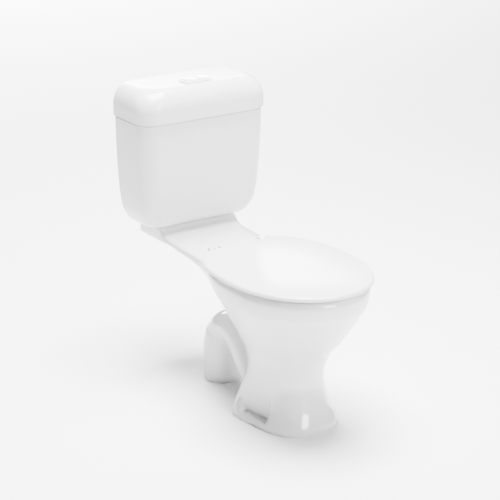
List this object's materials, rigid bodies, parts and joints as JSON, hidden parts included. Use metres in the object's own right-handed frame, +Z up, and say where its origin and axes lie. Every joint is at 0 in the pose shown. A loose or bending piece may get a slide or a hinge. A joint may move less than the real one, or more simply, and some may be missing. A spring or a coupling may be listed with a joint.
{
  "type": "close coupled toilet",
  "caption": "Floor-standing close coupled toilet: glazed pan with its own S trap, slim push-button cistern, hinged ring seat and domed cover.",
  "frame": {"origin": "on the floor at the middle of the outline seen from above", "axes": "+Z up, the pan faces -Y and the cistern's back is the +Y face, +X is the left side for a person facing the pan"},
  "size_m": [0.4, 0.79, 0.817],
  "materials": {
    "china": "high gloss glaze",
    "cistern_plastic": "gloss",
    "seat_plastic": "gloss",
    "button_plastic": "gloss",
    "rubber": "dull",
    "buffer": "dull",
    "steel": "brushed",
    "brass": "plain",
    "valve_white": "satin",
    "valve_grey": "satin",
    "valve_blue": "satin"
  },
  "bodies": {
    "fixed": {"pan": "china", "cistern_tank": "cistern_plastic", "coupling_gasket": "rubber", "flush_valve_base": "valve_white", "flush_valve_base_seal": "rubber", "flush_valve_backnut": "valve_grey", "flush_valve_cage": "valve_white", "tank_bolt_right": "brass", "tank_bolt_washer_right": "rubber", "tank_under_washer_right": "steel", "tank_wing_nut_right": "brass", "tank_bolt_left": "brass", "tank_bolt_washer_left": "rubber", "tank_under_washer_left": "steel", "tank_wing_nut_left": "brass", "fill_valve_body": "valve_white", "fill_valve_seal": "rubber", "fill_valve_backnut": "valve_grey", "fill_valve_cap": "valve_blue", "hinge_post_right": "seat_plastic", "hinge_pin_right": "steel", "hinge_washer_right": "rubber", "hinge_nut_right": "valve_grey", "hinge_post_left": "seat_plastic", "hinge_pin_left": "steel", "hinge_washer_left": "rubber", "hinge_nut_left": "valve_grey"},
    "seat": {"seat_ring": "seat_plastic", "seat_buffer_front_right": "buffer", "seat_buffer_front_left": "buffer", "seat_buffer_rear_right": "buffer", "seat_buffer_rear_left": "buffer"},
    "cover": {"seat_cover": "seat_plastic", "cover_buffer_right": "buffer", "cover_buffer_left": "buffer"},
    "lid": {"cistern_lid": "cistern_plastic", "button_bezel": "button_plastic", "bezel_retainer": "valve_grey"},
    "full_button": {"full_flush_button": "button_plastic"},
    "half_button": {"half_flush_button": "button_plastic"},
    "valve_spindle": {"flush_valve_spindle": "valve_blue", "flush_seal": "rubber"},
    "valve_half_float": {"half_flush_float": "valve_grey"},
    "inlet_float": {"fill_float": "valve_grey"},
    "inlet_lever": {"fill_lever": "valve_grey"}
  },
  "joints": [
    {"name": "seat_hinge", "type": "hinge", "parent": "fixed", "child": "seat", "pos_m": [0, 0.08, 0.41], "axis": [1, 0, 0], "range_deg": [-97, 0]},
    {"name": "cover_hinge", "type": "hinge", "parent": "seat", "child": "cover", "pos_m": [0, 0.08, 0.41], "axis": [-1, 0, 0], "range_deg": [0, 100]},
    {"name": "lid_lift", "type": "slide", "parent": "fixed", "child": "lid", "axis": [0, 0, 1], "range_m": [0, 0.12]},
    {"name": "full_flush_press", "type": "slide", "parent": "lid", "child": "full_button", "axis": [0, 0, -1], "range_m": [0, 0.006], "stiffness_N_per_m": 300, "springref_m": -0.003},
    {"name": "half_flush_press", "type": "slide", "parent": "lid", "child": "half_button", "axis": [0, 0, -1], "range_m": [0, 0.006], "stiffness_N_per_m": 300, "springref_m": -0.003},
    {"name": "valve_lift", "type": "slide", "parent": "fixed", "child": "valve_spindle", "axis": [0, 0, 1], "range_m": [0, 0.012]},
    {"name": "half_valve_lift", "type": "slide", "parent": "fixed", "child": "valve_half_float", "axis": [0, 0, 1], "range_m": [0, 0.012]},
    {"name": "float_rise", "type": "slide", "parent": "fixed", "child": "inlet_float", "axis": [0, 0, 1], "range_m": [0, 0.03]},
    {"name": "inlet_lever_turn", "type": "hinge", "parent": "fixed", "child": "inlet_lever", "pos_m": [0.141, 0.333, 0.6575], "axis": [0, 1, 0], "range_deg": [0, 35]}
  ],
  "couplings": [
    {"joint": "valve_lift", "follows": "full_flush_press", "ratio": 2},
    {"joint": "half_valve_lift", "follows": "half_flush_press", "ratio": 2},
    {"joint": "inlet_lever_turn", "follows": "float_rise", "rad_per_m": 20}
  ]
}
